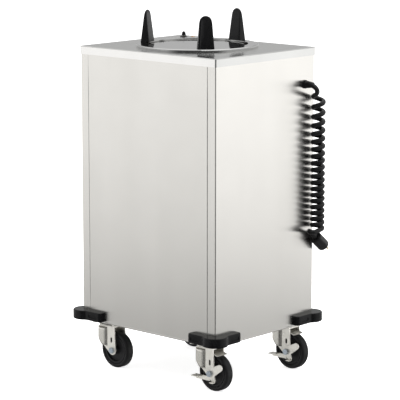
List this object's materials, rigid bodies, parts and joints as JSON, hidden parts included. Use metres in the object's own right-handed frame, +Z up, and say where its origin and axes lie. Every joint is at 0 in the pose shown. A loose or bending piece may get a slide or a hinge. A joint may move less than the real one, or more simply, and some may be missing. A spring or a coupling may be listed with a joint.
{
  "type": "heated plate dispenser",
  "caption": "Mobile heated plate dispenser: stainless cabinet on swivel casters, round well with sprung platform, guide posts, coiled cord.",
  "frame": {"origin": "on the floor under the middle of the cabinet", "axes": "+Z up, -Y the access panel's side, +X the side with the cord"},
  "size_m": [0.5707, 0.4771, 0.987],
  "materials": {
    "stainless": "satin with an upright grain",
    "polished_stainless": "fine satin, near mirror",
    "zinc_steel": "bright zinc plate",
    "spring_steel": "drawn wire",
    "black_plastic": "satin moulded",
    "hub_plastic": "moulded",
    "bumper_rubber": "gloss",
    "tyre_rubber": "smooth tread",
    "cord_rubber": "satin jacket",
    "boot_rubber": "matt",
    "blanket": "pressed fibre",
    "element": "heat-darkened sheath",
    "box_grey": "moulded",
    "amber_lens": "translucent",
    "brass": "bright"
  },
  "bodies": {
    "cabinet": {"cabinet_shell": "stainless", "cabinet_top": "stainless", "front_panel": "stainless", "base_pan": "stainless", "heated_well": "stainless", "top_ring": "polished_stainless", "well_insulation": "blanket", "guide_post_1": "black_plastic", "guide_post_2": "black_plastic", "guide_post_3": "black_plastic", "guide_rods": "zinc_steel", "rod_ring": "stainless", "lift_springs": "spring_steel", "heater_element": "element", "heater_clips": "zinc_steel", "terminal_box": "box_grey", "thermostat": "box_grey", "switch_body": "black_plastic", "switch_nut": "zinc_steel", "light_bezel": "black_plastic", "light_lens": "amber_lens", "caster_bolts": "zinc_steel", "cord_gland": "black_plastic", "cord_lead": "cord_rubber", "cord_coil": "cord_rubber", "cord_tail": "cord_rubber", "plug_body": "cord_rubber", "plug_prongs": "brass", "caster_plate_front_left": "zinc_steel", "caster_plate_front_right": "zinc_steel", "caster_plate_back_left": "zinc_steel", "caster_plate_back_right": "zinc_steel", "bumper_front_left": "bumper_rubber", "bumper_front_right": "bumper_rubber", "bumper_back_left": "bumper_rubber", "bumper_back_right": "bumper_rubber"},
    "platform": {"plate_platform": "polished_stainless", "platform_carrier": "stainless"},
    "switch_toggle": {"switch_lever": "zinc_steel", "switch_boot": "boot_rubber"},
    "swivel_front_left": {"caster_fork_front_left": "zinc_steel", "caster_axle_front_left": "zinc_steel"},
    "wheel_front_left": {"wheel_hub_front_left": "hub_plastic", "wheel_tyre_front_left": "tyre_rubber"},
    "swivel_front_right": {"caster_fork_front_right": "zinc_steel", "caster_axle_front_right": "zinc_steel", "brake_shoe_front_right": "zinc_steel"},
    "wheel_front_right": {"wheel_hub_front_right": "hub_plastic", "wheel_tyre_front_right": "tyre_rubber"},
    "brake_front_right": {"brake_lever_front_right": "zinc_steel"},
    "swivel_back_left": {"caster_fork_back_left": "zinc_steel", "caster_axle_back_left": "zinc_steel"},
    "wheel_back_left": {"wheel_hub_back_left": "hub_plastic", "wheel_tyre_back_left": "tyre_rubber"},
    "swivel_back_right": {"caster_fork_back_right": "zinc_steel", "caster_axle_back_right": "zinc_steel", "brake_shoe_back_right": "zinc_steel"},
    "wheel_back_right": {"wheel_hub_back_right": "hub_plastic", "wheel_tyre_back_right": "tyre_rubber"},
    "brake_back_right": {"brake_lever_back_right": "zinc_steel"}
  },
  "joints": [
    {"name": "platform_slide", "type": "slide", "parent": "cabinet", "child": "platform", "axis": [0, 0, 1], "range_m": [-0.45, 0], "stiffness_N_per_m": 767, "springref_m": 0.05, "deforming": ["lift_springs"]},
    {"name": "switch_rock", "type": "hinge", "parent": "cabinet", "child": "switch_toggle", "pos_m": [-0.186, 0.148, 0.884], "axis": [0, 1, 0], "range_deg": [-12, 12]},
    {"name": "swivel_front_left_turn", "type": "hinge", "parent": "cabinet", "child": "swivel_front_left", "pos_m": [-0.183, -0.158, 0.118], "axis": [0, 0, 1], "continuous": true},
    {"name": "wheel_front_left_roll", "type": "hinge", "parent": "swivel_front_left", "child": "wheel_front_left", "pos_m": [-0.155, -0.158, 0.0508], "axis": [0, 1, 0], "continuous": true},
    {"name": "swivel_front_right_turn", "type": "hinge", "parent": "cabinet", "child": "swivel_front_right", "pos_m": [0.183, -0.158, 0.118], "axis": [0, 0, 1], "continuous": true},
    {"name": "wheel_front_right_roll", "type": "hinge", "parent": "swivel_front_right", "child": "wheel_front_right", "pos_m": [0.211, -0.158, 0.0508], "axis": [0, 1, 0], "continuous": true},
    {"name": "brake_front_right_press", "type": "hinge", "parent": "swivel_front_right", "child": "brake_front_right", "pos_m": [0.211, -0.158, 0.0508], "axis": [0, 1, 0], "range_deg": [-14, 0]},
    {"name": "swivel_back_left_turn", "type": "hinge", "parent": "cabinet", "child": "swivel_back_left", "pos_m": [-0.183, 0.158, 0.118], "axis": [0, 0, 1], "continuous": true},
    {"name": "wheel_back_left_roll", "type": "hinge", "parent": "swivel_back_left", "child": "wheel_back_left", "pos_m": [-0.155, 0.158, 0.0508], "axis": [0, 1, 0], "continuous": true},
    {"name": "swivel_back_right_turn", "type": "hinge", "parent": "cabinet", "child": "swivel_back_right", "pos_m": [0.183, 0.158, 0.118], "axis": [0, 0, 1], "continuous": true},
    {"name": "wheel_back_right_roll", "type": "hinge", "parent": "swivel_back_right", "child": "wheel_back_right", "pos_m": [0.211, 0.158, 0.0508], "axis": [0, 1, 0], "continuous": true},
    {"name": "brake_back_right_press", "type": "hinge", "parent": "swivel_back_right", "child": "brake_back_right", "pos_m": [0.211, 0.158, 0.0508], "axis": [0, 1, 0], "range_deg": [-14, 0]}
  ]
}
